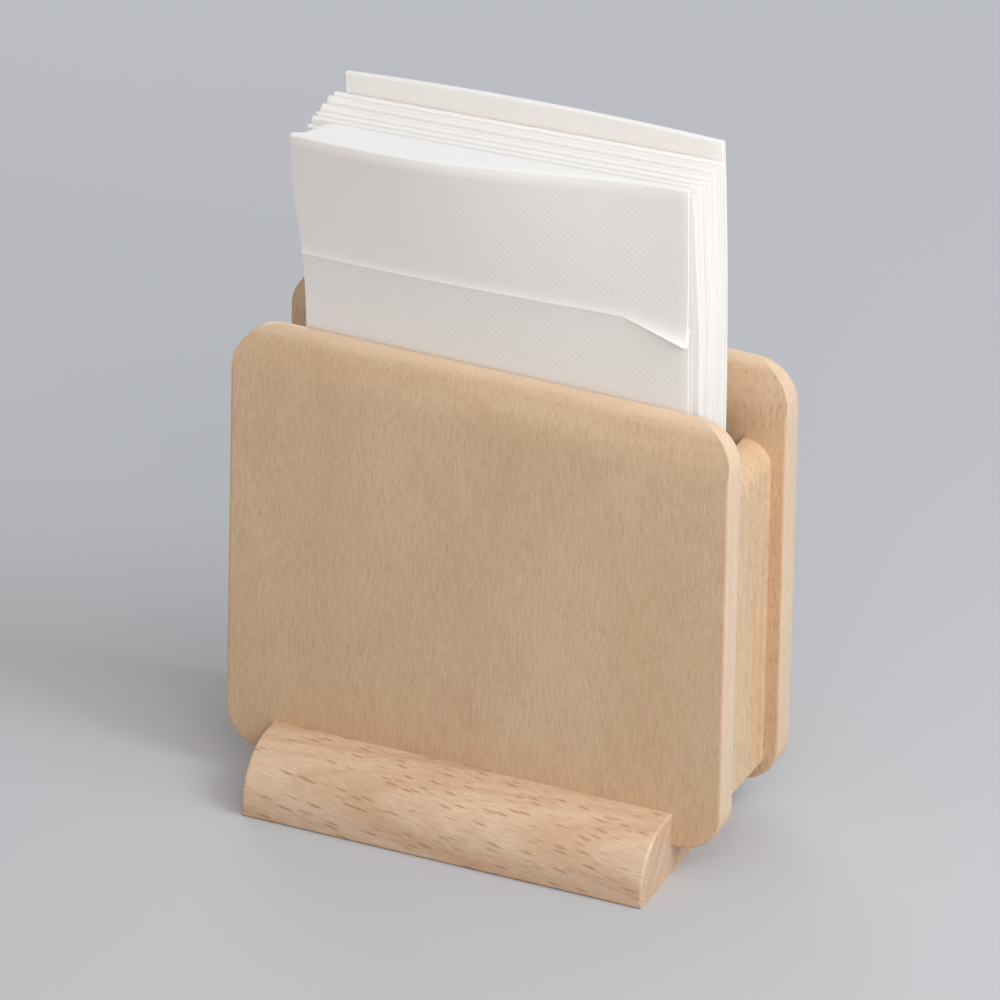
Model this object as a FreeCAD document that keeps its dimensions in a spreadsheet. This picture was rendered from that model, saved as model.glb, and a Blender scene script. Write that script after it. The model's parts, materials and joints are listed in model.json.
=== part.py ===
"""A beech napkin holder: two upright boards and two narrow side boards around a slot, leaning back on a foot
whose nose stands out in front, with a pack of folded paper napkins in the slot.

The origin is on the table under the middle of the holder. +Z is up, and the nose of the foot faces -Y.
The boards lean back together, so they are drawn in a leaning frame of their own: it starts at the foot of the
front board's face, with x across, y back through the slot and z up the boards.
"""

import FreeCAD, Part
import math
import os
import Sketcher

SIZES = [
    ("plate_height", 124.0, "front and back board, up"),
    ("plate_thick", 8.0, "front and back board, through"),
    ("plate_top_corner", 12.0, "radius of their upper corners"),
    ("plate_low_corner", 12.0, "radius of their lower corners"),
    ("plate_edge", 0.9, "rounding of their edges"),
    ("plate_lift", 2.0, "back board's lower edge above the front board's"),
    ("round_high", 15.0, "where the upper edges start to round over at the front, below the upper edge"),
    ("round_slope", 28.0, "radius of the lower part of that rounding"),
    ("round_crown", 5.0, "radius of its upper part"),
    ("round_back", 1.1, "wood left behind it at the upper edge"),
    ("lean", 2.6, "how far the boards lean back, degrees"),
    ("slot_spare", 7.7, "room left in the slot behind the pack of napkins"),
    ("slot_side", 3.5, "room in the slot at each side of the napkins"),
    ("wall_thick", 8.0, "side board, across"),
    ("wall_inset", 4.1, "side board's outer face, in from the ends of the boards"),
    ("wall_low", 9.5, "lower end of the side boards, above the lower edge of the boards"),
    ("wall_drop", 21.0, "upper end of the side boards, below the upper edge of the boards"),
    ("wall_corner", 7.0, "radius of a side board's upper outer corner"),
    ("floor_thick", 19.5, "block that the napkins stand on, up from the foot"),
    ("foot_inset", 13.6, "foot's ends, in from the ends of the boards"),
    ("foot_reach", 19.5, "how far the nose stands out in front of the front board"),
    ("foot_height", 18.0, "nose above the table"),
    ("foot_nose", 14.5, "radius of the nose"),
    ("foot_seat", 8.2, "seat of the front board above the table"),
    ("foot_depth", 55.0, "foot from front to back"),
    ("foot_edge", 0.8, "rounding of the nose's edges"),
    ("dowel_width", 5.0, "diameter of a dowel"),
    ("dowel_in_plate", 5.0, "depth of a dowel in a front or back board"),
    ("dowel_in_side", 10.0, "depth of a dowel in a side board or the slot's floor"),
    ("dowel_fit", 0.05, "glue room around a dowel"),
    ("dowel_end", 0.5, "glue room past each end of a dowel"),
    ("dowel_margin", 16.0, "outer dowels from the ends of a side board"),
    ("dowel_inset", 28.5, "floor dowels from the ends of the slot's floor"),
    ("dowel_drop", 5.0, "floor dowels below the top of the slot's floor"),
    ("screw_width", 3.0, "diameter of a screw's shank"),
    ("screw_length", 20.0, "screw under its head"),
    ("screw_tip", 3.0, "length of its point"),
    ("screw_head", 5.6, "diameter of its head"),
    ("screw_head_high", 2.0, "height of its head"),
    ("screw_slot", 1.0, "width and depth of the slot in its head"),
    ("screw_wood", 3.2, "wood between a head and the seat"),
    ("screw_inset", 22.0, "screws from the ends of the foot"),
    ("screw_room", 0.25, "clearance around a shank in the foot, and around a head"),
    ("screw_bite", 0.05, "clearance around a shank in a board, where the thread cuts"),
    ("napkin_width", 110.0, "folded napkin, across"),
    ("napkin_height", 165.0, "folded napkin, up"),
    ("napkin_thick", 2.05, "folded napkin, through"),
    ("napkin_gap", 0.1, "air between napkins of the stack"),
    ("napkin_clear", 0.2, "air around a napkin that pulls out by itself"),
    ("napkin_raised", 4.5, "how much higher the last napkin stands"),
]
STACKED = 8  # napkins between the front one and the raised one
QUARTER = math.pi / 2
SAME = 1e-6  # lengths closer than this are the same, in millimetres
ALONG_Y = "rotation(vector(1; 0; 0); -90)"  # turns a cylinder's axis from up to back
ALONG_Z = "rotation(vector(0; 0; 1); 0)"

# Lengths that follow from the sizes, written once as expressions.
PITCH = "(Size.napkin_thick + Size.napkin_gap)"  # from one napkin of the stack to the next
STACK_DEPTH = f"({STACKED} * {PITCH} - Size.napkin_gap)"
PACK_DEPTH = f"(2 * Size.napkin_thick + {STACK_DEPTH} + 3 * Size.napkin_clear)"
SLOT_DEPTH = f"({PACK_DEPTH} + Size.slot_spare)"
BACK = f"(Size.plate_thick + {SLOT_DEPTH})"
THROUGH = f"(Size.plate_thick + {BACK})"
TOP_REACH = "((Size.plate_height - Size.plate_edge) * sin(Size.lean) + Size.plate_edge)"
DEPTH = f"(Size.foot_reach + ({THROUGH} - Size.plate_edge) * cos(Size.lean) + {TOP_REACH})"
SEAT_Y = f"(Size.foot_reach - {DEPTH} / 2)"
SEAT_LENGTH = "(Size.foot_depth - Size.foot_reach)"
SEAT_DROP = f"({SEAT_LENGTH} * tan(Size.lean))"
WALL_IN = "(Size.napkin_width / 2 + Size.slot_side)"
WALL_OUT = f"({WALL_IN} + Size.wall_thick)"
WALL_TOP = "(Size.plate_height - Size.wall_drop)"
PLATE_HALF = f"({WALL_OUT} + Size.wall_inset)"
FOOT_HALF = f"({PLATE_HALF} - Size.foot_inset)"
DOWEL_HOLE = "(Size.dowel_width / 2 + Size.dowel_fit)"
SCREW_BACKS = ("(Size.plate_thick / 2)", f"(Size.plate_thick + {SLOT_DEPTH} / 2)")  # front board, slot's floor
LEANING = f"placement(vector(0; {SEAT_Y}; Size.foot_seat); rotation(vector(1; 0; 0); -Size.lean))"

doc = FreeCAD.newDocument("NapkinHolder")
sheet = doc.addObject("Spreadsheet::Sheet", "Size")
for row, (alias, number, meaning) in enumerate(SIZES, 1):
    sheet.set(f"A{row}", alias)
    sheet.set(f"B{row}", str(number))
    sheet.setAlias(f"B{row}", alias)
    sheet.set(f"C{row}", meaning)
doc.recompute()

parts = {}  # node name: the object whose shape is exported


def value(text):
    return float(sheet.evalExpression(text))


def keep(thing, name):
    thing.Label = name
    parts[name] = thing
    return thing


def leaning(across, back, up, turn=ALONG_Z):
    """The placement of something at a point of the leaning frame."""
    return f"{LEANING} * placement(vector({across}; {back}; {up}); {turn})"


# ---------- sketches, with every length bound to the sheet ----------


def new_body(name):
    body = doc.addObject("PartDesign::Body", name)
    keep(body, name)
    return body


def new_sketch(body, name, plane, offset=None):
    sketch = body.newObject("Sketcher::SketchObject", name)
    base = [feature for feature in body.Origin.OriginFeatures if feature.Role == plane][0]
    sketch.AttachmentSupport = [(base, "")]
    sketch.MapMode = "FlatFace"
    if offset:
        sketch.setExpression("AttachmentOffset", offset)
    return sketch


def bind(sketch, constraint, name, text):
    sketch.renameConstraint(sketch.addConstraint(constraint), name)
    sketch.setExpression(f"Constraints.{name}", text)


def place(sketch, way, shape, point, name, text):
    """Holds a point at a distance from the sketch's origin, which may be to either side of it."""
    distance = value(text)
    if distance == 0:
        axis = -1 if way == "DistanceY" else -2
        sketch.addConstraint(Sketcher.Constraint("PointOnObject", shape, point, axis))
    elif distance > 0:
        bind(sketch, Sketcher.Constraint(way, -1, 1, shape, point, distance), name, text)
    else:
        bind(sketch, Sketcher.Constraint(way, shape, point, -1, 1, -distance), name, f"-({text})")


def rounded_box(sketch, left, right, low, high, corners=(None, None, None, None)):
    """A rectangle. corners are the radii at low right, top right, top left and low left."""
    west, east, south, north = value(left), value(right), value(low), value(high)
    ends = [(east, south), (east, north), (west, north), (west, south)]
    radii = [value(radius) if radius else 0 for radius in corners]
    ways = [(1, 0), (0, 1), (-1, 0), (0, -1)]  # each side runs this way, ending at its corner
    lines = []
    for side in range(4):
        way, start, end = ways[side], ends[side - 1], ends[side]
        before, after = radii[side - 1], radii[side]
        a = FreeCAD.Vector(start[0] + way[0] * before, start[1] + way[1] * before, 0)
        b = FreeCAD.Vector(end[0] - way[0] * after, end[1] - way[1] * after, 0)
        lines.append(sketch.addGeometry(Part.LineSegment(a, b)))
        sketch.addConstraint(Sketcher.Constraint("Horizontal" if side % 2 == 0 else "Vertical", lines[-1]))
    for corner in range(4):
        following = lines[(corner + 1) % 4]
        if not radii[corner]:
            sketch.addConstraint(Sketcher.Constraint("Coincident", lines[corner], 2, following, 1))
            continue
        way, onward, radius = ways[corner], ways[(corner + 1) % 4], radii[corner]
        x = ends[corner][0] - way[0] * radius + onward[0] * radius
        y = ends[corner][1] - way[1] * radius + onward[1] * radius
        circle = Part.Circle(FreeCAD.Vector(x, y, 0), FreeCAD.Vector(0, 0, 1), radius)
        arc = sketch.addGeometry(Part.ArcOfCircle(circle, (corner - 1) * QUARTER, corner * QUARTER))
        sketch.addConstraint(Sketcher.Constraint("Tangent", lines[corner], 2, arc, 1))
        sketch.addConstraint(Sketcher.Constraint("Tangent", arc, 2, following, 1))
        bind(sketch, Sketcher.Constraint("Radius", arc, radius), f"corner_{corner}", corners[corner])
    place(sketch, "DistanceY", lines[0], 1, "low", low)
    place(sketch, "DistanceX", lines[1], 1, "right", right)
    place(sketch, "DistanceY", lines[2], 1, "high", high)
    place(sketch, "DistanceX", lines[3], 1, "left", left)


def circles(sketch, radius, centres):
    for number, (x, y) in enumerate(centres, 1):
        at = FreeCAD.Vector(value(x), value(y), 0)
        ring = sketch.addGeometry(Part.Circle(at, FreeCAD.Vector(0, 0, 1), value(radius)))
        bind(sketch, Sketcher.Constraint("Radius", ring, value(radius)), f"radius_{number}", radius)
        place(sketch, "DistanceX", ring, 3, f"x_{number}", x)
        place(sketch, "DistanceY", ring, 3, f"y_{number}", y)


def pad(body, sketch, length, back=False, both_ways=False):
    feature = body.newObject("PartDesign::Pad", sketch.Name + "_pad")
    feature.Profile = sketch
    feature.Reversed = back
    feature.Midplane = both_ways
    feature.setExpression("Length", length)
    doc.recompute()
    return feature


def pocket(body, sketch, length, back=False, both_ways=False):
    """Cuts the sketch into the body, and makes sure that it took wood away."""
    before = body.Shape.Volume
    feature = body.newObject("PartDesign::Pocket", sketch.Name + "_cut")
    feature.Profile = sketch
    feature.Reversed = back
    feature.Midplane = both_ways
    feature.setExpression("Length", length)
    doc.recompute()
    if not body.Shape.Volume < before:
        raise RuntimeError(f"{feature.Name} cuts nothing")
    return feature


def soften(body, name, radius, wanted):
    """Rounds the edges of the body's last feature whose middle point is wanted."""
    base = body.Tip
    names = []
    for number, edge in enumerate(base.Shape.Edges, 1):
        if wanted(edge.CenterOfMass):
            names.append(f"Edge{number}")
    fillet = body.newObject("PartDesign::Fillet", name)
    fillet.Base = (base, names)
    fillet.setExpression("Radius", radius)
    doc.recompute()
    return fillet


# ---------- the boards ----------


def dowel_places():
    """Where dowels go into a front or back board, as (across, up), the side boards' first."""
    side = f"({WALL_IN} + Size.wall_thick / 2)"
    heights = ["(Size.wall_low + Size.dowel_margin)", f"({WALL_TOP} - Size.dowel_margin)"]
    walls = [(across, up) for across in (f"-{side}", side) for up in heights]
    spread = f"({WALL_IN} - Size.dowel_inset)"
    floor = [(across, "(Size.floor_thick - Size.dowel_drop)") for across in (f"-{spread}", spread)]
    return walls, floor


def plate(name, front, low, inner_faces_back):
    """A front or back board, whose front face lies at `front` in the leaning frame and whose lower edge at `low`."""
    body = new_body(name)
    body.setExpression("Placement", leaning("0", front, "0"))
    outline = new_sketch(body, name + "_outline", "XZ_Plane")
    low_corner, top_corner = "Size.plate_low_corner", "Size.plate_top_corner"
    rounds = (low_corner, top_corner, top_corner, low_corner)
    rounded_box(outline, f"-{PLATE_HALF}", PLATE_HALF, low, "Size.plate_height", rounds)
    pad(body, outline, "Size.plate_thick", back=True)
    thick = value("Size.plate_thick")
    faces = (0, thick)
    soften(body, name + "_edges", "Size.plate_edge", lambda at: min(abs(at.y - y) for y in faces) < SAME)
    round_over(body, name)
    inner = f"placement(vector(0; 0; -Size.plate_thick); {ALONG_Z})" if inner_faces_back else None
    holes = new_sketch(body, name + "_dowel_holes", "XZ_Plane", inner)
    walls, floor = dowel_places()
    circles(holes, DOWEL_HOLE, walls + floor)
    pocket(body, holes, "Size.dowel_in_plate + Size.dowel_end", back=inner_faces_back)
    return body


def round_over(body, name):
    """Rounds a board's upper edge over at the front: a slope out of the front face, and a crown above it."""
    sketch = new_sketch(body, name + "_round", "YZ_Plane")
    top, slope, crown = value("Size.plate_height"), value("Size.round_slope"), value("Size.round_crown")
    low, crest = top - value("Size.round_high"), value("Size.plate_thick - Size.round_back")
    middle = FreeCAD.Vector(slope, low, 0)
    # The crown's middle is a crown's radius from the crest, and the two radii's difference from the slope's middle.
    to_crest = FreeCAD.Vector(crest, top, 0) - middle
    far, near = slope - crown, to_crest.Length
    along = (far**2 + near**2 - crown**2) / (2 * near)
    aside = math.sqrt(far**2 - along**2)
    way = to_crest / near
    crown_middle = middle + way * along + FreeCAD.Vector(way.y, -way.x, 0) * -aside
    meet = (crown_middle - middle).normalize()
    meeting = math.atan2(meet.y, meet.x)
    start = FreeCAD.Vector(crest, top, 0) - crown_middle
    up = FreeCAD.Vector(0, 0, 1)
    bend = Part.ArcOfCircle(Part.Circle(crown_middle, up, crown), math.atan2(start.y, start.x), meeting)
    lower = sketch.addGeometry(Part.ArcOfCircle(Part.Circle(middle, up, slope), meeting, 2 * QUARTER))
    upper = sketch.addGeometry(bend)
    spare = value("Size.plate_thick")
    corners = [(crest, top), (crest, top + spare), (-spare, top + spare), (-spare, low), (0, low)]
    lines = []
    for a, b in zip(corners, corners[1:]):
        lines.append(sketch.addGeometry(Part.LineSegment(FreeCAD.Vector(*a, 0), FreeCAD.Vector(*b, 0))))
    rise, over, fall, back = lines
    for rule in (
        ("Tangent", lower, 1, upper, 2),
        ("Coincident", upper, 1, rise, 1),
        ("Coincident", rise, 2, over, 1),
        ("Coincident", over, 2, fall, 1),
        ("Coincident", fall, 2, back, 1),
        ("Perpendicular", back, 2, lower, 2),
        ("Vertical", rise),
        ("Horizontal", over),
        ("Vertical", fall),
        ("Horizontal", back),
    ):
        sketch.addConstraint(Sketcher.Constraint(*rule))
    bind(sketch, Sketcher.Constraint("Radius", lower, slope), "slope", "Size.round_slope")
    bind(sketch, Sketcher.Constraint("Radius", upper, crown), "crown", "Size.round_crown")
    place(sketch, "DistanceX", lower, 2, "front", "0")
    place(sketch, "DistanceY", lower, 2, "low", "Size.plate_height - Size.round_high")
    place(sketch, "DistanceX", upper, 1, "crest", "Size.plate_thick - Size.round_back")
    place(sketch, "DistanceY", upper, 1, "top", "Size.plate_height")
    place(sketch, "DistanceX", fall, 1, "past_front", "-Size.plate_thick")
    place(sketch, "DistanceY", over, 1, "past_top", "Size.plate_height + Size.plate_thick")
    pocket(body, sketch, f"2 * {PLATE_HALF} + Size.plate_thick", both_ways=True)


def pilot_holes(body, back):
    """Screw holes up into a body's lower end, where the foot's screws at `back` in the body come in."""
    pilots = new_sketch(body, body.Name + "_screw_holes", "XY_Plane")
    circles(pilots, "Size.screw_width / 2 + Size.screw_bite", [(x, back) for x in screw_sides()])
    pocket(body, pilots, "Size.screw_length - Size.screw_wood + Size.dowel_end", back=True)


def wall(name, side):
    """A side board between the front and back boards, side -1 on the left and 1 on the right."""
    body = new_body(name)
    body.setExpression("Placement", leaning("0", "Size.plate_thick", "0"))
    outline = new_sketch(body, name + "_outline", "XZ_Plane")
    corner = "Size.wall_corner"
    if side > 0:
        edges, rounds = (WALL_IN, WALL_OUT), (None, corner, None, None)
    else:
        edges, rounds = (f"-{WALL_OUT}", f"-{WALL_IN}"), (None, None, corner, None)
    rounded_box(outline, *edges, "Size.wall_low", WALL_TOP, rounds)
    pad(body, outline, SLOT_DEPTH, back=True)
    middle = value(f"{WALL_IN} + Size.wall_thick / 2") * side
    centres = [centre for centre in dowel_places()[0] if abs(value(centre[0]) - middle) < SAME]
    dowel_holes_both_ends(body, name, centres)


def slot_floor():
    """The block across the slot that the napkins stand on, resting on the foot."""
    body = new_body("slot_floor")
    body.setExpression("Placement", leaning("0", "Size.plate_thick", "0"))
    outline = new_sketch(body, "slot_floor_outline", "XZ_Plane")
    rounded_box(outline, f"-{WALL_IN}", WALL_IN, "0", "Size.floor_thick")
    pad(body, outline, SLOT_DEPTH, back=True)
    dowel_holes_both_ends(body, "slot_floor", dowel_places()[1])
    pilot_holes(body, f"({SLOT_DEPTH} / 2)")


def dowel_holes_both_ends(body, name, centres):
    """Blind dowel holes from the front end and the back end of a board that fills the slot's depth."""
    depth = "Size.dowel_in_side + Size.dowel_end"
    front = new_sketch(body, name + "_front_holes", "XZ_Plane")
    circles(front, DOWEL_HOLE, centres)
    pocket(body, front, depth)
    at_back = f"placement(vector(0; 0; -{SLOT_DEPTH}); {ALONG_Z})"
    back = new_sketch(body, name + "_back_holes", "XZ_Plane", at_back)
    circles(back, DOWEL_HOLE, centres)
    pocket(body, back, depth, back=True)


# ---------- the foot ----------


def screw_sides():
    spread = f"({FOOT_HALF} - Size.screw_inset)"
    return f"-{spread}", spread


def foot():
    """The foot: a rounded nose in front, and behind it a seat for the boards that slopes down to the back."""
    body = new_body("foot")
    outline = new_sketch(body, "foot_outline", "YZ_Plane")
    seat_y, seat_z = value(SEAT_Y), value("Size.foot_seat")
    high, nose = value("Size.foot_height"), value("Size.foot_nose")
    front = seat_y - value("Size.foot_reach")
    rise_y = seat_y + (high - seat_z) * value("tan(Size.lean)")
    rear_y, rear_z = seat_y + value(SEAT_LENGTH), seat_z - value(SEAT_DROP)
    low_front, nose_low = FreeCAD.Vector(front, 0, 0), FreeCAD.Vector(front, high - nose, 0)
    nose_top, rise_top = FreeCAD.Vector(front + nose, high, 0), FreeCAD.Vector(rise_y, high, 0)
    seat, seat_rear = FreeCAD.Vector(seat_y, seat_z, 0), FreeCAD.Vector(rear_y, rear_z, 0)
    low_rear = FreeCAD.Vector(rear_y, 0, 0)
    face = outline.addGeometry(Part.LineSegment(low_front, nose_low))
    circle = Part.Circle(FreeCAD.Vector(front + nose, high - nose, 0), FreeCAD.Vector(0, 0, 1), nose)
    curve = outline.addGeometry(Part.ArcOfCircle(circle, QUARTER, 2 * QUARTER))  # from its top to its front
    top = outline.addGeometry(Part.LineSegment(nose_top, rise_top))
    rise = outline.addGeometry(Part.LineSegment(rise_top, seat))
    rest = outline.addGeometry(Part.LineSegment(seat, seat_rear))
    rear = outline.addGeometry(Part.LineSegment(seat_rear, low_rear))
    under = outline.addGeometry(Part.LineSegment(low_rear, low_front))
    for rule in (
        ("Tangent", face, 2, curve, 2),
        ("Tangent", curve, 1, top, 1),
        ("Coincident", top, 2, rise, 1),
        ("Coincident", rise, 2, rest, 1),
        ("Coincident", rest, 2, rear, 1),
        ("Coincident", rear, 2, under, 1),
        ("Coincident", under, 2, face, 1),
        ("Vertical", face),
        ("Horizontal", top),
        ("Perpendicular", rise, rest),
        ("Vertical", rear),
        ("Horizontal", under),
        ("PointOnObject", face, 1, -1),
    ):
        outline.addConstraint(Sketcher.Constraint(*rule))
    constraint = Sketcher.Constraint
    bind(outline, constraint("Radius", curve, nose), "nose", "Size.foot_nose")
    bind(outline, constraint("DistanceY", -1, 1, top, 1, high), "height", "Size.foot_height")
    bind(outline, constraint("DistanceY", -1, 1, rest, 1, seat_z), "seat", "Size.foot_seat")
    bind(outline, constraint("DistanceX", face, 1, rest, 1, seat_y - front), "reach", "Size.foot_reach")
    bind(outline, constraint("DistanceX", rest, 1, rest, 2, rear_y - seat_y), "length", SEAT_LENGTH)
    bind(outline, constraint("DistanceY", rest, 2, rest, 1, seat_z - rear_z), "drop", SEAT_DROP)
    place(outline, "DistanceX", rest, 1, "seat_y", SEAT_Y)
    pad(body, outline, f"2 * {FOOT_HALF}", both_ways=True)
    end = value(FOOT_HALF)

    def of_the_nose(at):
        on_end = abs(abs(at.x) - end) < SAME and at.y < seat_y - SAME and at.z > SAME
        return on_end or (abs(at.x) < SAME and abs(at.y - front) < SAME and at.z < SAME)

    soften(body, "foot_edges", "Size.foot_edge", of_the_nose)
    screw_holes(body)


def screw_holes(body):
    """Clearance holes down through the foot from the seat, and wider ones for the heads below them."""
    places = [(x, y) for x in screw_sides() for y in SCREW_BACKS]
    shanks = new_sketch(body, "foot_shank_holes", "XY_Plane", LEANING)
    circles(shanks, "Size.screw_width / 2 + Size.screw_room", places)
    pocket(body, shanks, "Size.foot_height")
    heads = new_sketch(body, "foot_head_holes", "XY_Plane", leaning("0", "0", "-Size.screw_wood"))
    circles(heads, "Size.screw_head / 2 + Size.screw_room", places)
    pocket(body, heads, "Size.foot_height")


# ---------- dowels and screws ----------


def rod(name, radius, length, across, back, up, turn=ALONG_Z):
    cylinder = doc.addObject("Part::Cylinder", name)
    cylinder.setExpression("Radius", radius)
    cylinder.setExpression("Height", length)
    cylinder.setExpression("Placement", leaning(across, back, up, turn))
    return cylinder


def group(name, members):
    """Separate solids of one kind, under one name."""
    compound = doc.addObject("Part::Compound", name)
    compound.Links = members
    return keep(compound, name)


def dowels():
    length = "Size.dowel_in_plate + Size.dowel_in_side"
    ends = ("Size.plate_thick - Size.dowel_in_plate", f"{BACK} - Size.dowel_in_side")
    for name, centres in zip(("side_dowels", "floor_dowels"), dowel_places()):
        pins = []
        for across, up in centres:
            for start in ends:
                at = (across, start, up, ALONG_Y)
                pins.append(rod(f"{name}_{len(pins) + 1}", "Size.dowel_width / 2", length, *at))
        group(name, pins)


def screws():
    """Slotted screws, heads down, through the foot into the front board and the slot's floor."""
    straight = "Size.screw_length - Size.screw_tip"
    under = "(-Size.screw_wood - Size.screw_head_high)"
    made = []
    for across in screw_sides():
        for back in SCREW_BACKS:
            name = f"screw_{len(made) + 1}"
            shank = rod(name + "_shank", "Size.screw_width / 2", straight, across, back, "-Size.screw_wood")
            head = rod(name + "_head", "Size.screw_head / 2", "Size.screw_head_high", across, back, under)
            point = doc.addObject("Part::Cone", name + "_point")
            point.setExpression("Radius1", "Size.screw_width / 2")
            point.setExpression("Radius2", "Size.screw_width / 20")
            point.setExpression("Height", "Size.screw_tip")
            point.setExpression("Placement", leaning(across, back, f"-Size.screw_wood + {straight}"))
            solid = doc.addObject("Part::MultiFuse", name + "_solid")
            solid.Shapes = [head, shank, point]
            slot = doc.addObject("Part::Box", name + "_slot")
            slot.setExpression("Length", "Size.screw_head")
            slot.setExpression("Width", "Size.screw_slot")
            slot.setExpression("Height", "Size.screw_slot")
            corner = (f"{across} - Size.screw_head / 2", f"{back} - Size.screw_slot / 2", under)
            slot.setExpression("Placement", leaning(*corner))
            screw = doc.addObject("Part::Cut", name)
            screw.Base, screw.Tool = solid, slot
            made.append(screw)
    group("foot_screws", made)


# ---------- the napkins ----------


def napkin(number, front, up):
    folded = doc.addObject("Part::Box", f"napkin_{number:02d}")
    folded.setExpression("Length", "Size.napkin_width")
    folded.setExpression("Width", "Size.napkin_thick")
    folded.setExpression("Height", "Size.napkin_height")
    folded.setExpression("Placement", leaning("-Size.napkin_width / 2", front, up))
    keep(folded, folded.Name)


def napkins():
    """The front napkin, the stack behind it and the raised one at the back."""
    standing = "Size.floor_thick + Size.napkin_clear"
    front = "Size.plate_thick + Size.napkin_clear"
    napkin(1, front, standing)
    stack = f"{front} + Size.napkin_thick + Size.napkin_clear"
    for number in range(STACKED):
        napkin(number + 2, f"{stack} + {number} * {PITCH}", standing)
    last = f"{stack} + {STACK_DEPTH} + Size.napkin_clear"
    napkin(STACKED + 2, last, f"{standing} + Size.napkin_raised")


# ---------- checks and files ----------


def check():
    doc.recompute()
    for thing in doc.Objects:
        if "Invalid" in thing.State or "Error" in thing.State:
            raise RuntimeError(f"{thing.Label} failed: {thing.State}")
    for name, thing in parts.items():
        shape = thing.Shape
        if shape.isNull() or not shape.isValid() or not shape.Solids:
            raise RuntimeError(f"{name} has no valid solid")


def export():
    os.makedirs("parts", exist_ok=True)
    whole = FreeCAD.BoundBox()
    for name, thing in parts.items():
        shape = thing.Shape
        shape.exportStep(f"parts/{name}.step")
        box = shape.optimalBoundingBox()
        whole.add(box)
        print(f"{name}: {len(shape.Solids)} solids, {shape.Volume:.0f} cubic mm, {box}")
    print("whole:", whole)


pilot_holes(plate("front_plate", "0", "0", inner_faces_back=True), SCREW_BACKS[0])
plate("back_plate", BACK, "Size.plate_lift", inner_faces_back=False)
wall("left_wall", -1)
wall("right_wall", 1)
slot_floor()
foot()
dowels()
screws()
napkins()
check()
export()
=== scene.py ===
"""A beech napkin holder, two leaning boards on a moulded foot, with ten folded paper napkins standing in it.

The boards, foot, dowels and screws are the CAD model's own solids, and get their wood and metal here. The
napkins are folded here from square sheets, each in place of its own CAD slab.
"""
import json
import math
import random
from functools import partial

import bpy
from mathutils import Matrix, Vector


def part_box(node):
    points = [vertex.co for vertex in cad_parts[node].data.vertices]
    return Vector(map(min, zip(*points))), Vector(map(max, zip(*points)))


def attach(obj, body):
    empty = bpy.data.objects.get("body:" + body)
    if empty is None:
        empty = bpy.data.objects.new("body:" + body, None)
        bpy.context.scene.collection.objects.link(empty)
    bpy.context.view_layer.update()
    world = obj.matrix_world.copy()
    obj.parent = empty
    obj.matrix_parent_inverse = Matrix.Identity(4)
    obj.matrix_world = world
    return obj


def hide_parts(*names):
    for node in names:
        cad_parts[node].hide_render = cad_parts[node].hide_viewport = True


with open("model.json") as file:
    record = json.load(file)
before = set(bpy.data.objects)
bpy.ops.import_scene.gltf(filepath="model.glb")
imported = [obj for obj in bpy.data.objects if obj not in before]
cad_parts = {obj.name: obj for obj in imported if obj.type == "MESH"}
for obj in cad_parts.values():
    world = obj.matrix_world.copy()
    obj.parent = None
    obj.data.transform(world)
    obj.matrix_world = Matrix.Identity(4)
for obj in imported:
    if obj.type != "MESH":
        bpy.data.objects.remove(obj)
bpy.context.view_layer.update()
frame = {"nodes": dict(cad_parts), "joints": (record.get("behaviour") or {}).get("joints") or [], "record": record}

bl_info = {
    "name": "Beech napkin holder",
    "version": (1, 0, 0),
    "blender": (4, 5, 0),
    "location": "3D View > Sidebar > Napkin holder",
    "description": "Finishes a beech napkin holder and folds the paper napkins that stand in it",
    "category": "Object",
}

MM = 0.001

# The boards lean back, and the napkins slide along that lean.
UP = Vector(frame["joints"][0]["axis"]).normalized()
ACROSS = Vector((1, 0, 0))
BACK = UP.cross(ACROSS)

SIDE_BOARDS = ["left_wall", "right_wall"]
DOWELS = sorted(n for n in frame["nodes"] if "dowel" in n)
SCREWS = sorted(n for n in frame["nodes"] if "screw" in n)
STACK = frame["record"]["behaviour"]["bodies"]["napkin_stack"]


def leaning_box(node):
    """Lowest and highest (across, back, up) of a CAD node, measured along the lean."""
    corners = [vertex.co for vertex in frame["nodes"][node].data.vertices]
    points = [(c.dot(ACROSS), c.dot(BACK), c.dot(UP)) for c in corners]
    return [min(axis) for axis in zip(*points)], [max(axis) for axis in zip(*points)]


# ---------------------------------------------------------------- materials

# Beech's figure. Each size is (across, deep, along the grain) in millimetres.
GROWTH_BAND = (40.0, 2.4, 130.0)
BLUSH_PATCH = (9.0, 7.0, 16.0)
# Beech's vessels are under 0.1 mm wide, too fine to show, so the fibres are drawn about five times as coarse.
FIBRE_LINE = (0.42, 0.9, 3.2)
# The cells that the rays' dashes lie in. A dash fills about a third to a half of its cell.
BOARD_DASH = (0.9, 2.0, 5.0)
FOOT_DASH = (1.15, 2.2, 8.5)

# Where in the log the wood is cut, in metres, for the growth bands, the patches, the fibres and the dashes.
LOG_PLACES = (0.613, 0.041, 0.007, 0.021)

# The foot's grain runs off its length by ten degrees, down towards the right.
FOOT_GRAIN = Vector((0.985, 0.0, -0.174)).normalized()
FOOT_SIDE = Vector((0, 0.6, 0.8))
DOWEL_GRAIN = Vector((0, 1, 0))

# Tissue's fibres are some 0.02 mm wide, too fine to show, so they are drawn as coarse as the render can hold.
PAPER_FIBRE = 0.5 * MM
PAPER_CLOUD = 9 * MM
ZINC_CLOUD = 1.2 * MM

# Settings that nodes share.
SMOOTH = {"interpolation_type": "SMOOTHSTEP"}
MULTIPLY = {"operation": "MULTIPLY"}
WEIGH = {"operation": "MULTIPLY_ADD"}
COLOUR = {"data_type": "RGBA"}
DARKEN = {"data_type": "RGBA", "blend_type": "MULTIPLY"}


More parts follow.
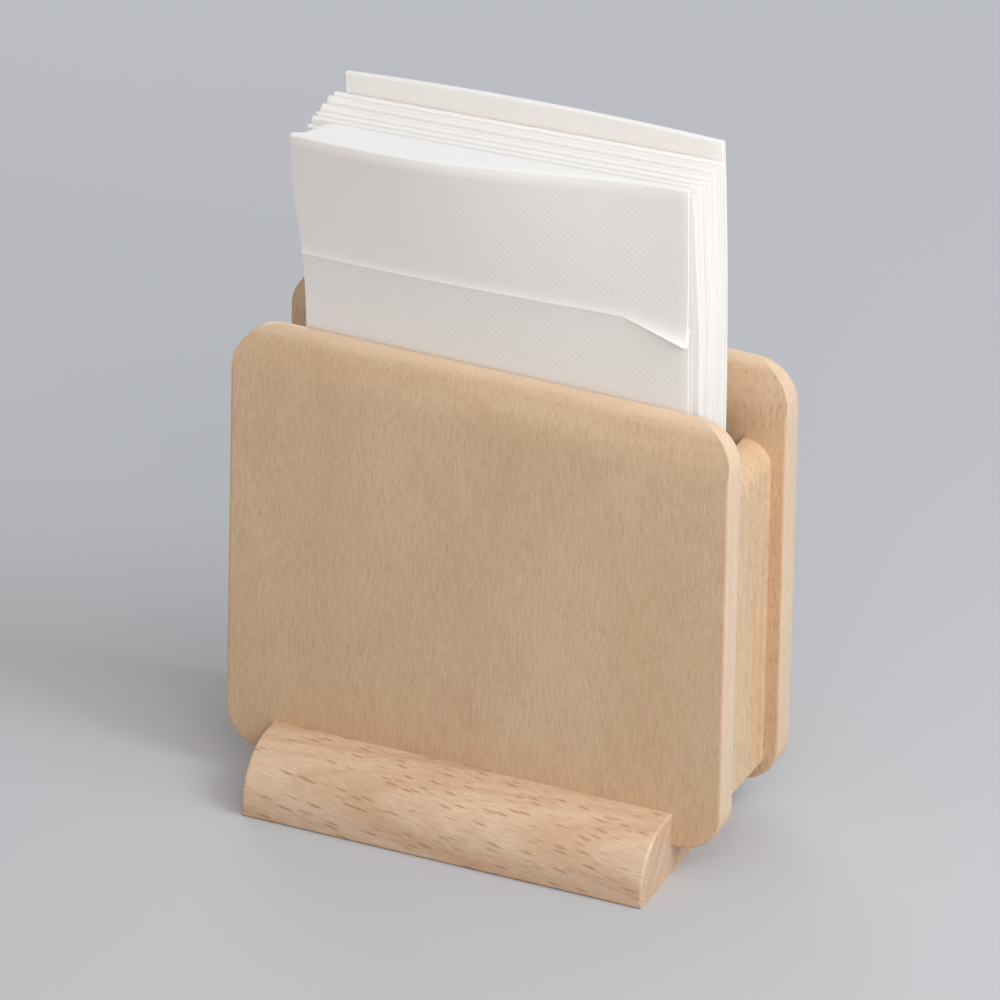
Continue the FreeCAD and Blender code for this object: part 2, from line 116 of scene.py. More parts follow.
def linear(colour):
    """An sRGB hex colour such as "#D8B894" as the linear colour that a node takes."""
    parts = [int(colour.lstrip("#")[i : i + 2], 16) / 255 for i in (0, 2, 4)]
    return (*(c / 12.92 if c <= 0.04045 else ((c + 0.055) / 1.055) ** 2.4 for c in parts), 1.0)


def add_node(tree, kind, settings=None, take=0, **links):
    """Adds a node and returns the output that take names. settings are its own properties. links are its sockets, by
    name or as i and a number, with a value or the output that feeds them."""
    node = tree.nodes.new(kind)
    for key, value in (settings or {}).items():
        setattr(node, key, value)
    for key, value in links.items():
        socket = node.inputs[int(key[1:]) if key[1:].isdigit() else key.replace("_", " ")]
        if isinstance(value, bpy.types.NodeSocket):
            tree.links.new(value, socket)
        else:
            socket.default_value = value
    return node.outputs[take] if node.outputs else None


def new_material(name):
    """Makes an empty material and returns add_node for its tree."""
    material = bpy.data.materials.new(name)
    material.use_nodes = True
    material.node_tree.nodes.clear()
    return partial(add_node, material.node_tree)


def paint(names, material):
    """Gives CAD nodes a material in place of their own."""
    for name in names:
        materials = frame["nodes"][name].data.materials
        materials.clear()
        materials.append(bpy.data.materials[material])


def beech(name, across, along, pale, tan, fleck, dash, dash_strength, dash_reach=0.3, edge=None):
    """Beech, planed, sanded and finished in clear satin lacquer: an even pinkish straw colour with faint
    growth bands, fine fibres, and the short dark dashes of its rays, which run with the grain.

    across and along are the board's directions across and along its grain. dash is the size of a dash's cell,
    dash_reach how much of it the dash fills. edge is the paler colour painted on its edges and ends as a painted
    highlight."""
    wood = bpy.context.scene.holder_wood
    add = new_material(name)
    place = add("ShaderNodeTexCoord", take="Object")
    normal = place.node.outputs["Normal"]
    turn = Matrix((across, along.cross(across), along)).transposed().to_euler("XYZ")
    cells = [
        add(
            "ShaderNodeMapping",
            {"vector_type": "TEXTURE"},
            Vector=place,
            Location=(cut, cut, cut),
            Rotation=tuple(turn),
            Scale=tuple(side * MM for side in size),
        )
        for size, cut in zip((GROWTH_BAND, BLUSH_PATCH, FIBRE_LINE, dash), LOG_PLACES)
    ]
    growth = add("ShaderNodeTexNoise", Vector=cells[0], Scale=1.0, Detail=2.5, Roughness=0.55)
    blush = add("ShaderNodeTexNoise", Vector=cells[1], Scale=1.0, Detail=2.0, Roughness=0.55)
    fibre = add("ShaderNodeTexNoise", Vector=cells[2], Scale=1.0, Detail=2.0, Roughness=0.55)
    rays = add("ShaderNodeTexVoronoi", {"feature": "F1"}, Vector=cells[3], Scale=1.0, Randomness=1.0)

    # 1 where the surface faces along the grain or across it, and 0 where it lies along that direction.
    facing = []
    for way in (along, across):
        part = add("ShaderNodeVectorMath", {"operation": "DOT_PRODUCT"}, take=1, i0=normal, i1=tuple(way))
        facing.append(add("ShaderNodeMath", MULTIPLY, i0=part, i1=part))
    end_grain, side_edge = facing

    # The dashes are the middles of the cells. Some are faint, and end grain has hardly any.
    near = {"From_Min": 0.4 * dash_reach, "From_Max": dash_reach, "To_Min": 1.0, "To_Max": 0.0}
    ray = add("ShaderNodeMapRange", SMOOTH, Value=rays, **near)
    chance = add("ShaderNodeSeparateColor", Color=rays.node.outputs["Color"])
    chance = add("ShaderNodeMapRange", SMOOTH, Value=chance, From_Min=0.0, From_Max=0.6)
    on_face = add("ShaderNodeMapRange", SMOOTH, Value=end_grain, From_Min=0.4, From_Max=0.9, To_Min=1.0, To_Max=0.15)
    ray = add("ShaderNodeMath", MULTIPLY, i0=ray, i1=chance)
    ray = add("ShaderNodeMath", MULTIPLY, i0=ray, i1=on_face)

    late = add("ShaderNodeMapRange", SMOOTH, Value=growth, From_Min=0.32, From_Max=0.72)
    colour = add("ShaderNodeMix", COLOUR, take=2, i0=late, i6=linear(pale), i7=linear(tan))
    for mix, pattern, low, high, strength, tint in (
        (COLOUR, blush, 0.4, 0.75, wood.blush_strength, wood.blush),
        (DARKEN, fibre, 0.35, 0.7, wood.fibre_strength, wood.fibre),
    ):
        share = add("ShaderNodeMapRange", SMOOTH, Value=pattern, From_Min=low, From_Max=high)
        share = add("ShaderNodeMath", MULTIPLY, i0=share, i1=strength)
        colour = add("ShaderNodeMix", mix, take=2, i0=share, i6=colour, i7=linear(tint))
    share = add("ShaderNodeMath", MULTIPLY, i0=ray, i1=dash_strength)
    colour = add("ShaderNodeMix", COLOUR, take=2, i0=share, i6=colour, i7=linear(fleck))
    if edge:
        # Painted highlight: the board's edges are painted paler than its face, and its ends, top and bottom, a little
        # less so.
        painted_highlight_rim = add("ShaderNodeMath", WEIGH, i0=end_grain, i1=0.8, i2=side_edge)
        share = add("ShaderNodeMapRange", SMOOTH, Value=painted_highlight_rim, From_Min=0.1, From_Max=1.0, To_Max=0.4)
        colour = add("ShaderNodeMix", COLOUR, take=2, i0=share, i6=colour, i7=linear(edge))

    # The fibres stand up a little and shine less, and the dashes lie lower.
    height = add("ShaderNodeMath", MULTIPLY, i0=fibre, i1=0.6)
    height = add("ShaderNodeMath", WEIGH, i0=ray, i1=-0.5, i2=height)
    bump = add("ShaderNodeBump", Strength=0.25, Distance=0.06 * MM, Height=height)
    gloss = {"From_Min": 0.2, "From_Max": 0.8, "To_Min": wood.gloss_low, "To_Max": wood.gloss_high}
    rough = add("ShaderNodeMapRange", SMOOTH, Value=fibre, **gloss)
    shader = add(
        "ShaderNodeBsdfPrincipled",
        Base_Color=colour,
        Roughness=rough,
        IOR=1.5,
        Coat_Weight=0.12,
        Coat_Roughness=0.38,
        Normal=bump,
    )
    add("ShaderNodeOutputMaterial", Surface=shader)


def tissue_paper(name):
    """Soft tissue paper, plies embossed together: a warm matt white with fine slanting rows of pressed dots that
    follow the sheet through its folds."""
    paper = bpy.context.scene.holder_paper
    add = new_material(name)
    sheet = add("ShaderNodeUVMap", {"uv_map": "Sheet"})
    dots = (paper.sheet / paper.dot_across, paper.sheet / paper.dot_along, 1.0)
    flat = add("ShaderNodeMapping", Vector=sheet, Scale=dots)
    sideways = add("ShaderNodeSeparateXYZ", Vector=flat)
    lengthways = sideways.node.outputs[1]
    rows = []
    for way in ("SUBTRACT", "ADD"):
        turns = add("ShaderNodeMath", {"operation": way}, i0=sideways, i1=lengthways)
        angle = add("ShaderNodeMath", MULTIPLY, i0=turns, i1=2 * math.pi)
        rows.append(add("ShaderNodeMath", {"operation": "COSINE"}, i0=angle))
    place = add("ShaderNodeTexCoord", take="Object")
    fibre = add("ShaderNodeTexNoise", Vector=place, Scale=1 / PAPER_FIBRE, Detail=3.0, Roughness=0.6)
    cloud = add("ShaderNodeTexNoise", Vector=place, Scale=1 / PAPER_CLOUD, Detail=2.0)

    # The rows that rise to the right are pressed deeper than those that cross them.
    height = 0.0
    for pattern, weight in ((rows[0], 0.3), (rows[1], 0.105), (fibre, 0.8), (cloud, 1.2)):
        height = add("ShaderNodeMath", WEIGH, i0=pattern, i1=weight, i2=height)
    bump = add("ShaderNodeBump", Strength=0.6, Distance=paper.dot_depth, Height=height)
    thick = add("ShaderNodeMath", MULTIPLY, i0=fibre, i1=0.8)
    colour = add("ShaderNodeMix", COLOUR, take=2, i0=thick, i6=linear(paper.colour), i7=linear(paper.shade))
    shader = add(
        "ShaderNodeBsdfPrincipled",
        Base_Color=colour,
        Roughness=0.92,
        IOR=1.45,
        Specular_IOR_Level=0.2,
        Sheen_Weight=0.06,
        Sheen_Roughness=0.5,
        Normal=bump,
    )
    add("ShaderNodeOutputMaterial", Surface=shader)


def zinc_steel(name):
    """Zinc-plated steel, turned and tumbled: a cool bright grey with a faint cloudiness in its shine."""
    add = new_material(name)
    place = add("ShaderNodeTexCoord", take="Object")
    cloud = add("ShaderNodeTexNoise", Vector=place, Scale=1 / ZINC_CLOUD, Detail=3.0)
    rough = add("ShaderNodeMapRange", Value=cloud, From_Min=0.3, From_Max=0.7, To_Min=0.26, To_Max=0.4)
    colour = add("ShaderNodeMix", COLOUR, take=2, i0=cloud, i6=linear("#C9CBCD"), i7=linear("#B4B7B9"))
    shader = add("ShaderNodeBsdfPrincipled", Base_Color=colour, Metallic=1.0, Roughness=rough)
    add("ShaderNodeOutputMaterial", Surface=shader)


# ---------------------------------------------------------------- settings

LENGTH = {"unit": "LENGTH", "subtype": "DISTANCE"}
POWER = {"min": 0, "max": 200, "unit": "POWER"}
SHARE = {"min": 0, "max": 1, "subtype": "FACTOR"}


class WoodSettings(bpy.types.PropertyGroup):
    """Colours and figure of the beech"""

    pale: bpy.props.StringProperty(
        name="Pale wood", description="Early wood of the boards, sRGB hex", default="#DABE9E"
    )
    tan: bpy.props.StringProperty(
        name="Tan wood", description="Late wood of the boards, sRGB hex", default="#D4B593"
    )
    # Painted highlight: the paler colour painted on the boards' edges and ends.
    edge: bpy.props.StringProperty(
        name="Edges", description="Edges of the boards, sRGB hex", default="#F2DBC2"
    )
    # Painted light: the side boards' beech grain is painted paler than the boards', for the brighter light on the right
    # side.
    side_pale_painted_lighter: bpy.props.StringProperty(
        name="Side pale", description="Early wood of the side boards, sRGB hex", default="#E1C39F"
    )
    side_tan_painted_lighter: bpy.props.StringProperty(
        name="Side tan", description="Late wood of the side boards, sRGB hex", default="#D8B691"
    )
    foot_pale: bpy.props.StringProperty(
        name="Foot pale", description="Early wood of the foot, sRGB hex", default="#E0C4A8"
    )
    foot_tan: bpy.props.StringProperty(
        name="Foot tan", description="Late wood of the foot, sRGB hex", default="#D1AF90"
    )
    blush: bpy.props.StringProperty(
        name="Blush", description="Pinkish patches in the wood, sRGB hex", default="#C9A389"
    )
    fibre: bpy.props.StringProperty(
        name="Fibre", description="Fine fibre lines, sRGB hex", default="#C9A583"
    )
    fleck: bpy.props.StringProperty(
        name="Ray fleck", description="Dashes on the front board, sides and dowels, sRGB hex", default="#B08A66"
    )
    dark_fleck: bpy.props.StringProperty(
        name="Dark fleck", description="Dashes on the foot and the back board, sRGB hex", default="#9A6E4C"
    )
    blush_strength: bpy.props.FloatProperty(
        name="Blush strength", description="How much the pinkish patches show", default=0.24, **SHARE
    )
    fibre_strength: bpy.props.FloatProperty(
        name="Fibre strength", description="How dark the fibres are", default=0.24, **SHARE
    )
    gloss_low: bpy.props.FloatProperty(
        name="Smoothest", description="Roughness of the smoothest lacquer", default=0.4, **SHARE
    )
    gloss_high: bpy.props.FloatProperty(
        name="Roughest", description="Roughness of the roughest lacquer", default=0.52, **SHARE
    )


class PaperSettings(bpy.types.PropertyGroup):
    """Sheet, folds and colour of the napkins"""

    sheet: bpy.props.FloatProperty(
        name="Sheet side", description="Side of the unfolded square napkin", default=0.33, min=0.2, max=0.5, **LENGTH
    )
    flap: bpy.props.FloatProperty(
        name="Flap", description="Part folded down over the front", default=0.038, min=0.01, max=0.08, **LENGTH
    )
    lip: bpy.props.FloatProperty(
        name="Lip", description="How far the flap's edge stands out", default=0.0006, min=0, max=0.003, **LENGTH
    )
    paper: bpy.props.FloatProperty(
        name="Paper", description="Thickness of one layer", default=0.00028, min=0.00005, max=0.0005, **LENGTH
    )
    lean: bpy.props.FloatProperty(
        name="Lean", description="How far the front napkin's top leans out", default=0.0100, min=0, max=0.03, **LENGTH
    )
    curl: bpy.props.FloatProperty(
        name="Corner curl", description="How far the flap's corner curls out", default=0.0007, min=0, max=0.01, **LENGTH
    )
    dot_across: bpy.props.FloatProperty(
        name="Dots across", description="Dots' spacing across the sheet", default=0.0025, min=0.0005, max=0.01, **LENGTH
    )
    dot_along: bpy.props.FloatProperty(
        name="Dots along", description="Dots' spacing along the sheet", default=0.00186, min=0.0005, max=0.01, **LENGTH
    )
    dot_depth: bpy.props.FloatProperty(
        name="Dot depth", description="Height of the embossing", default=0.0001, min=0, max=0.001, **LENGTH
    )
    colour: bpy.props.StringProperty(
        name="Paper colour", description="Warm white of the tissue, sRGB hex", default="#F0EEEC"
    )
    shade: bpy.props.StringProperty(
        name="Paper shade", description="Thicker places in the tissue, sRGB hex", default="#E9E6E3"
    )


class StageSettings(bpy.types.PropertyGroup):
    """Floor, lights and camera"""

    floor: bpy.props.StringProperty(name="Floor", description="Plain pale floor, sRGB hex", default="#BCBDC1")
    world: bpy.props.FloatProperty(
        name="Room light", description="Even light from all round", default=0.5, min=0, max=2
    )
    key: bpy.props.FloatProperty(
        name="Key light", description="Soft light from above right", default=7.8, **POWER
    )
    fill: bpy.props.FloatProperty(
        name="Fill light", description="Weak warm light from the front", default=1.65, **POWER
    )
    back: bpy.props.FloatProperty(
        name="Back light", description="Weak light from behind", default=2.3, **POWER
    )
    turn: bpy.props.FloatProperty(
        name="Camera turn",
        description="How far the camera stands round to the right",
        default=math.radians(24.159),
        subtype="ANGLE",
    )
    rise: bpy.props.FloatProperty(
        name="Camera rise", description="How far the camera looks down", default=math.radians(31.742), subtype="ANGLE"
    )
    distance: bpy.props.FloatProperty(
        name="Camera distance",
        description="From the camera to the floor below the front board",
        default=5.778,
        min=0.5,
        **LENGTH,
    )
    lens: bpy.props.FloatProperty(
        name="Lens", description="Focal length of the camera", default=797.1, min=20, max=2000, unit="CAMERA"
    )


# ---------------------------------------------------------------- napkins

# A folded napkin is six layers thick: three panels side by side, folded over once more.
LAYER_GAPS = 5
# The folds round top and bottom are flatter than half circles, by this share.
FOLD_FLATNESS = 0.45
# Room for the last layer inside the slab, and between the flap's edge and the sheet's other end.
CLEARANCE = 0.05 * MM
# How far the panels' edges are out of line at most.
RAGGED = 0.7 * MM
# The rows of the flap and of the front lie closer together towards the flap's edge, by this power.
ROW_CROWDING = 1.8
# How many pieces each bend is cut into: those between the panels, and those round top and bottom.
SIDE_FOLD_STEPS, END_FOLD_STEPS = 6, 10

# Where the napkins bend, by height above their bottom, and how far each bend spreads.
STRAIGHT_SHARE = 0.48
NECK_HEIGHT, NECK_SPREAD, NECK_SHARE = 147.3 * MM, 13 * MM, 0.55
BELLY_HEIGHT, BELLY_SPREAD = 126 * MM, 16 * MM
# Where the front napkin leans out most, sideways from its middle, and how far the lean reaches on each side of that.
CREST, CREST_TO_RIGHT, CREST_TO_LEFT = -27 * MM, 81 * MM, 125 * MM
# The left end, where all its layers lean out together, and how much of that is the change.
PINCH, PINCH_CHANGE = 6.5 * MM, 3.5 * MM
# The flap's curled right corner: its width and height, how much further its lip stands out, and how far it drops.
CURL_WIDE, CURL_HIGH, CURL_LIP, CURL_DROP = 19 * MM, 12 * MM, 2.5, 7
# How soon the lip dies out above the flap's edge, and how far the front below it is lifted with it.
LIP_FADE, FRONT_FADE, FRONT_LIFT = 1.0 * MM, 3 * MM, 0.75


def limit(value):
    """The value, kept between 0 and 1."""
    return min(1.0, max(0.0, value))


def fold_stations(steps, bend_steps):
    """Places along a strip of straight parts with a bend between each two: steps is how many pieces each part is cut
    into, and bend_steps each bend. Returns [(kind, part, share of its length)]."""
    stations = []
    for part, count in enumerate(steps):
        stations += [("flat", part, i / count) for i in range(count + 1)]
        if part < len(steps) - 1:
            stations += [("bend", part, i / bend_steps) for i in range(1, bend_steps)]
    return stations


def fold_napkin(
    name, node, half, shift_low, shift_top, bow, rise, tilt,
    arch=0.0, sway=(0.0, 0.0), spare=0.0, fine=1, lean=0.0, lip=0.0, curl=0.0,
):
    """Folds one square sheet in thirds across, then round top and bottom, and stands it in its CAD slab.

    half is half the folded width. shift_low and shift_top move it sideways at the bottom and at the top, and bow says
    how late it does so. rise is how much taller than its slab it stands, tilt the slope of its top, and arch how far
    that bows up. sway is how far its left edge bends in and its right edge out, and spare how far its free edge
    stands past the folds on the right. fine is how finely it is cut. lean, lip and curl are how far the top, the
    flap's edge and the flap's right corner stand out."""
    paper = bpy.context.scene.holder_paper
    low, high = leaning_box(node)
    board_top = leaning_box("front_plate")[1][2] - low[2]
    dice = random.Random(name)
    gap = (high[1] - low[1] - paper.paper - CLEARANCE) / LAYER_GAPS
    outer = LAYER_GAPS / 2 * gap
    front = (low[1] + high[1]) / 2 - outer
    middle = (low[0] + high[0]) / 2
    tall = high[2] - low[2]
    crown = FOLD_FLATNESS * outer
    seam = tall - paper.flap

    # Across: three panels, each with its own edges, joined by two small bends.
    edges = [half - dice.uniform(0.0, RAGGED) for _ in range(4)]
    edges[1] -= spare
    sides = [(-edges[0], edges[1]), (edges[1], -edges[2]), (-edges[2], edges[3])]
    columns = fold_stations([12 * fine] * 3, SIDE_FOLD_STEPS)

    def across(kind, part, share):
        """(sideways, layer depth, distance along the sheet) of a column."""
        bend = math.pi * gap / 2
        start = sum(abs(b - a) + bend for a, b in sides[:part])
        a, b = sides[part]
        if kind == "flat":
            return a + (b - a) * share, part * gap, start + abs(b - a) * share
        angle = math.pi * share
        way = 1 if b > a else -1
        return (
            b + way * gap / 2 * math.sin(angle),
            part * gap + gap / 2 * (1 - math.cos(angle)),
            start + abs(b - a) + bend * share,
        )

    # Along: flap, over the top, down the back, round the bottom, and up the front to the flap's edge.
    rows = fold_stations([6 * fine, 14 * fine, 12 * fine], END_FOLD_STEPS)
    lengths = [paper.flap - crown, tall - 2 * crown, seam - crown - CLEARANCE]

    def along(kind, part, share, depth):
        """(depth in the slab, height, distance along the sheet) of a row, for a layer at that depth."""
        radius = outer - depth
        bend = math.pi * outer
        start = sum(length + bend for length in lengths[:part])
        if kind == "flat":
            share = [share**ROW_CROWDING, share, 1 - (1 - share) ** ROW_CROWDING][part]
            gone = lengths[part] * share
            height = [seam + gone, tall - crown - gone, crown + gone][part]
            return outer + (radius if part == 1 else -radius), height, start + gone
        angle = math.pi * share
        centre, way = (tall - crown, 1) if part == 0 else (crown, -1)
        return (
            outer - way * radius * math.cos(angle),
            centre + way * FOLD_FLATNESS * radius * math.sin(angle),
            start + lengths[part] + bend * share,
        )

    def stand(sideways, depth, height, part):
        """Where a point of the folded napkin stands in the holder, and how far the top leans out there."""
        late = max(0.0, (height / tall - STRAIGHT_SHARE) / (1 - STRAIGHT_SHARE)) ** bow
        u = middle + sideways + shift_low + (shift_top - shift_low) * late
        neck = NECK_SHARE - math.exp(-(((height - NECK_HEIGHT) / NECK_SPREAD) ** 2))
        belly = math.exp(-(((height - BELLY_HEIGHT) / BELLY_SPREAD) ** 2))
        u += (sway[0] * neck * (half - sideways) + sway[1] * belly * (half + sideways)) / (2 * half)
        w = low[2] + height
        w += (rise + tilt * sideways + arch * (1 - (sideways / half) ** 2)) * (height / tall) ** 3
        v = front + depth
        # The top leans out most left of the middle. Its back layers stay behind, but for the pinched left end.
        above = max(0.0, (height - board_top) / (tall - board_top))
        reach = (sideways - CREST) / (CREST_TO_RIGHT if sideways > CREST else CREST_TO_LEFT)
        pinch = limit((PINCH - half - sideways) / PINCH_CHANGE)
        held = limit(depth / (LAYER_GAPS * gap)) * (1 - pinch)
        out = lean * math.cos(math.pi / 2 * limit(abs(reach))) ** 2
        v -= out * above**1.5 * (1 - held)
        if part == "flap":
            drop = max(0.0, height - seam)
            corner = limit((sideways - half + CURL_WIDE) / CURL_WIDE - drop / CURL_HIGH)
            v -= lip * (1 + CURL_LIP * corner) * math.exp(-drop / LIP_FADE) + curl * corner
            w -= curl * CURL_DROP * corner
        elif part == "front":
            v -= FRONT_LIFT * lip * math.exp(-max(0.0, seam - height) / FRONT_FADE)
        return ACROSS * u + BACK * v + UP * w, out

    bpy.ops.object.select_all(action="DESELECT")
    bpy.ops.mesh.primitive_grid_add(
        x_subdivisions=len(columns) - 1, y_subdivisions=len(rows) - 1, size=paper.sheet, calc_uvs=True
    )
    napkin = bpy.context.object
    mesh = napkin.data
    napkin.name = mesh.name = name
    mesh.uv_layers[0].name = "Sheet"
    placed = []
    cut = []
    for kind, number, share in rows:
        part = ("flap", "back", "front")[number] if kind == "flat" else "fold"
        # Where the top is spread out, it takes that much more of the sheet to go over it.
        over = 0.0 if part == "flap" else share if part == "fold" and number == 0 else 1.0
        for column in columns:
            sideways, layer, a = across(*column)
            depth, height, b = along(kind, number, share, layer)
            place, wider = stand(sideways, depth, height, part)
            placed.append(place)
            cut.append((a / paper.sheet, (b + wider * over) / paper.sheet))
    # The grid's vertices run along x, row by row, so they take the stations in the same order.
    for vertex, place in zip(mesh.vertices, placed):
        vertex.co = place
    for loop in mesh.loops:
        mesh.uv_layers[0].data[loop.index].uv = cut[loop.vertex_index]
    mesh.update()

    wall = napkin.modifiers.new("Paper", "SOLIDIFY")
    wall.thickness = paper.paper
    wall.offset = 0.0
    bpy.ops.object.modifier_apply(modifier=wall.name)
    # Only the sheet's cut edges are sharper than this, so its folds stay smooth.
    bpy.ops.object.shade_smooth_by_angle(angle=math.radians(85))
    napkin.data.materials.append(bpy.data.materials["Tissue paper, embossed"])
    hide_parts(node)
    return napkin


class HOLDER_OT_front_napkin(bpy.types.Operator):
    """Fold the front napkin, which leans out over the front board"""

    bl_idname = "holder.front_napkin"
    bl_label = "Front napkin"

    def execute(self, context):
        paper = context.scene.holder_paper
        napkin = fold_napkin(
            "front_napkin_sheet",
            "napkin_01",
            half=54.95 * MM,
            shift_low=1.2 * MM,
            shift_top=-0.55 * MM,
            bow=1.3,
            rise=0.85 * MM,
            tilt=0.040,
            sway=(1.1 * MM, 0.0),
            spare=0.5 * MM,
            fine=3,
            lean=paper.lean,
            lip=paper.lip,
            curl=paper.curl,
        )
        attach(napkin, "front_napkin")
        return {"FINISHED"}


class HOLDER_OT_napkin_stack(bpy.types.Operator):
    """Fold the napkins of the stack, each a little out of line with the next"""

    bl_idname = "holder.napkin_stack"
    bl_label = "Napkin stack"

    def execute(self, context):
        # From front to back, in millimetres: how much taller each stands, and how far its top is shifted.
        tops = [-1.8, -0.3, 0.1, 0.5, 0.2, 0.9, 0.5, 0.8]
        shifts = [-0.4, 0.3, 0.6, 0.9, 0.3, 0.8, 0.0, 0.7]
        for node, top, shift in zip(STACK, tops, shifts):
            napkin = fold_napkin(
                node.replace("napkin", "stack_napkin") + "_sheet",
                node,
                half=54.9 * MM,
                shift_low=2.9 * MM,
                shift_top=shift * MM,
                bow=1.3,
                rise=top * MM,
                tilt=0.042,
                sway=(0.0, 0.6 * MM),
            )
            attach(napkin, "napkin_stack")
        return {"FINISHED"}


class HOLDER_OT_raised_napkin(bpy.types.Operator):
    """Fold the back napkin, which stands a little higher than the others"""

    bl_idname = "holder.raised_napkin"
    bl_label = "Raised napkin"

    def execute(self, context):
        napkin = fold_napkin(
            "raised_napkin_sheet",
            "napkin_10",
            half=53.2 * MM,
            shift_low=3.5 * MM,
            shift_top=1.2 * MM,
            bow=2.2,
            rise=1.5 * MM,
            tilt=0.0367,
            arch=1.4 * MM,
            fine=2,
        )
        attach(napkin, "raised_napkin")
        return {"FINISHED"}


# ---------------------------------------------------------------- wood and metal


class HOLDER_OT_materials(bpy.types.Operator):
    """Make the wood, paper and metal that the pieces take"""

    bl_idname = "holder.materials"
    bl_label = "Materials"

    def execute(self, context):
        wood = context.scene.holder_wood
        board = (ACROSS, UP, wood.pale, wood.tan)
        # The front and back boards get a painted highlight on their edges and ends.
        beech("Beech board, satin lacquer", *board, wood.fleck, BOARD_DASH, 0.3, edge=wood.edge)
        beech("Beech back board, satin lacquer", *board, wood.dark_fleck, BOARD_DASH, 0.45, edge=wood.edge)
        # The side boards' paler colours are painted light, standing in for the brighter light on the right.
        side = (ACROSS, UP, wood.side_pale_painted_lighter, wood.side_tan_painted_lighter)
        beech("Beech side board painted lighter, satin lacquer", *side, wood.fleck, BOARD_DASH, 0.3)
        foot_side = (FOOT_SIDE - FOOT_GRAIN * FOOT_SIDE.dot(FOOT_GRAIN)).normalized()
        foot = (foot_side, FOOT_GRAIN, wood.foot_pale, wood.foot_tan)
        beech("Beech foot, satin lacquer", *foot, wood.dark_fleck, FOOT_DASH, 0.55, dash_reach=0.38)
        beech("Beech dowel, turned", ACROSS, DOWEL_GRAIN, wood.pale, wood.tan, wood.fleck, BOARD_DASH, 0.4)
        tissue_paper("Tissue paper, embossed")
        zinc_steel("Zinc-plated steel")
        return {"FINISHED"}


class HOLDER_OT_boards(bpy.types.Operator):
    """Finish the front and back boards in beech, with the grain upright"""

    bl_idname = "holder.boards"
    bl_label = "Boards"

    def execute(self, context):
        paint(["front_plate"], "Beech board, satin lacquer")
        paint(["back_plate"], "Beech back board, satin lacquer")
        return {"FINISHED"}


class HOLDER_OT_slot(bpy.types.Operator):
    """Finish the two side boards and the floor of the slot in beech, painted paler than the boards as painted light"""

    bl_idname = "holder.slot"
    bl_label = "Side boards and slot floor"

    def execute(self, context):
        paint([*SIDE_BOARDS, "slot_floor"], "Beech side board painted lighter, satin lacquer")
        return {"FINISHED"}


class HOLDER_OT_foot(bpy.types.Operator):
    """Finish the moulded foot in beech, with the grain along it"""

    bl_idname = "holder.foot"
    bl_label = "Foot"

    def execute(self, context):
        paint(["foot"], "Beech foot, satin lacquer")
        return {"FINISHED"}


class HOLDER_OT_fixings(bpy.types.Operator):
    """Finish the beech dowels and the steel screws"""

    bl_idname = "holder.fixings"
    bl_label = "Dowels and screws"

    def execute(self, context):
        paint(DOWELS, "Beech dowel, turned")
        paint(SCREWS, "Zinc-plated steel")
        return {"FINISHED"}


# ---------------------------------------------------------------- stage

# The side of the square floor, in metres.
FLOOR_SIDE = 30
# The lamps point at the middle of the front board. The camera looks this far right of and above the board's foot.
LAMP_AIM = Vector((0, 0, 80 * MM))
AIM_RIGHT, AIM_ABOVE = 7.56 * MM, 85.23 * MM


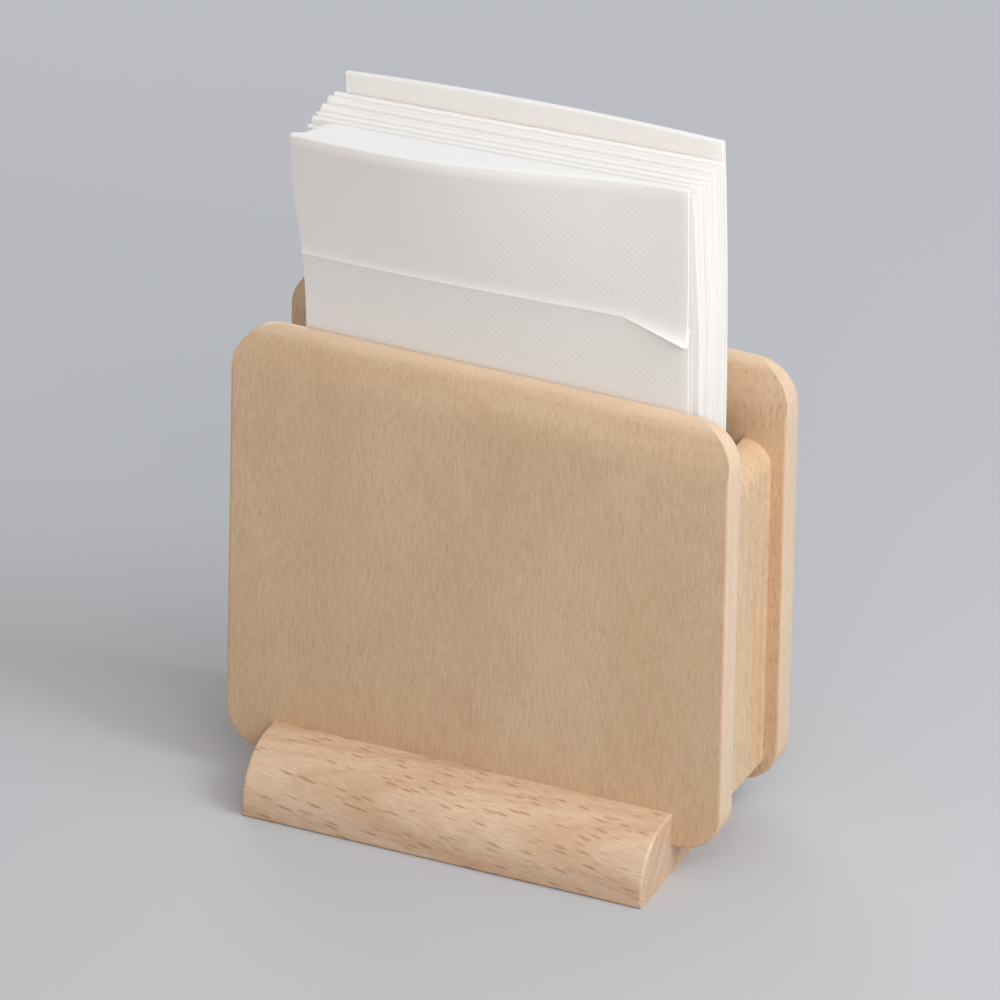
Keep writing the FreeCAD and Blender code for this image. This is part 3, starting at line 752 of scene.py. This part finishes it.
class HOLDER_OT_stage(bpy.types.Operator):
    """Lay the floor and set the lights and the camera"""

    bl_idname = "holder.stage"
    bl_label = "Stage"

    def execute(self, context):
        stage = context.scene.holder_stage
        scene = context.scene
        scene.view_settings.view_transform = "Standard"

        # Backdrop paper: an even, matt, pale grey.
        bpy.ops.object.select_all(action="DESELECT")
        bpy.ops.mesh.primitive_plane_add(size=FLOOR_SIDE)
        floor = context.object
        floor.name = "stage_floor"
        add = new_material("Backdrop paper, matt")
        shader = add("ShaderNodeBsdfPrincipled", Base_Color=linear(stage.floor), Roughness=0.9)
        add("ShaderNodeOutputMaterial", Surface=shader)
        floor.data.materials.append(bpy.data.materials["Backdrop paper, matt"])

        world = bpy.data.worlds.new("Soft studio")
        world.use_nodes = True
        scene.world = world
        world.node_tree.nodes.clear()
        light = add_node(world.node_tree, "ShaderNodeBackground", Color=(1, 1, 1, 1), Strength=stage.world)
        add_node(world.node_tree, "ShaderNodeOutputWorld", Surface=light)

        # Name, place, width, power and colour of each lamp, in metres and watts.
        lamps = [
            ("key_light", (0.89, -0.06, 0.89), 0.6, stage.key, "#EDF7FF"),
            ("fill_light", (0.34, -0.40, 0.48), 0.5, stage.fill, "#FFF0E2"),
            ("back_light", (-0.55, 0.75, 0.45), 0.6, stage.back, "#F8FAFF"),
        ]
        for name, place, width, power, colour in lamps:
            bpy.ops.object.light_add(type="AREA", location=place)
            lamp = context.object
            lamp.name = name
            lamp.data.shape = "DISK"
            lamp.data.size = width
            lamp.data.energy = power
            lamp.data.color = linear(colour)[:3]
            lamp.rotation_mode = "QUATERNION"
            lamp.rotation_quaternion = (LAMP_AIM - lamp.location).to_track_quat("-Z", "Y")

        board_foot = Vector((0.0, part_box("front_plate")[0].y, 0.0))
        level = Vector((math.sin(stage.turn), -math.cos(stage.turn), 0)) * math.cos(stage.rise)
        towards = level + Vector((0, 0, math.sin(stage.rise)))
        right = Vector((math.cos(stage.turn), math.sin(stage.turn), 0))
        aim = board_foot + right * AIM_RIGHT + towards.cross(right) * AIM_ABOVE
        bpy.ops.object.camera_add(location=board_foot + towards * stage.distance)
        camera = context.object
        camera.name = "camera"
        camera.data.lens = stage.lens
        camera.data.sensor_width = 36.0
        camera.data.clip_end = 100.0
        camera.rotation_mode = "QUATERNION"
        camera.rotation_quaternion = (aim - camera.location).to_track_quat("-Z", "Y")
        scene.camera = camera
        return {"FINISHED"}


# ---------------------------------------------------------------- panel


OPERATORS = [
    HOLDER_OT_materials,
    HOLDER_OT_boards,
    HOLDER_OT_slot,
    HOLDER_OT_foot,
    HOLDER_OT_fixings,
    HOLDER_OT_front_napkin,
    HOLDER_OT_napkin_stack,
    HOLDER_OT_raised_napkin,
    HOLDER_OT_stage,
]
SETTINGS = {"holder_wood": WoodSettings, "holder_paper": PaperSettings, "holder_stage": StageSettings}


class HOLDER_PT_panel(bpy.types.Panel):
    """Lists the holder's settings and pieces"""

    bl_idname = "HOLDER_PT_panel"
    bl_label = "Napkin holder"
    bl_space_type = "VIEW_3D"
    bl_region_type = "UI"
    bl_category = "Napkin holder"

    def draw(self, context):
        for group, settings in SETTINGS.items():
            box = self.layout.box()
            for name in settings.__annotations__:
                box.prop(getattr(context.scene, group), name)
        for operator in OPERATORS:
            self.layout.operator(operator.bl_idname)


CLASSES = [*SETTINGS.values(), *OPERATORS, HOLDER_PT_panel]


def register():
    for cls in CLASSES:
        bpy.utils.register_class(cls)
    for group, settings in SETTINGS.items():
        setattr(bpy.types.Scene, group, bpy.props.PointerProperty(type=settings))


def unregister():
    for group in SETTINGS:
        delattr(bpy.types.Scene, group)
    for cls in reversed(CLASSES):
        bpy.utils.unregister_class(cls)


def main():
    """Registers the classes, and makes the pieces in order."""
    register()
    bpy.ops.holder.materials()
    bpy.ops.holder.boards()
    bpy.ops.holder.slot()
    bpy.ops.holder.foot()
    bpy.ops.holder.fixings()
    bpy.ops.holder.front_napkin()
    bpy.ops.holder.napkin_stack()
    bpy.ops.holder.raised_napkin()
    bpy.ops.holder.stage()


if __name__ == "__main__":
    main()
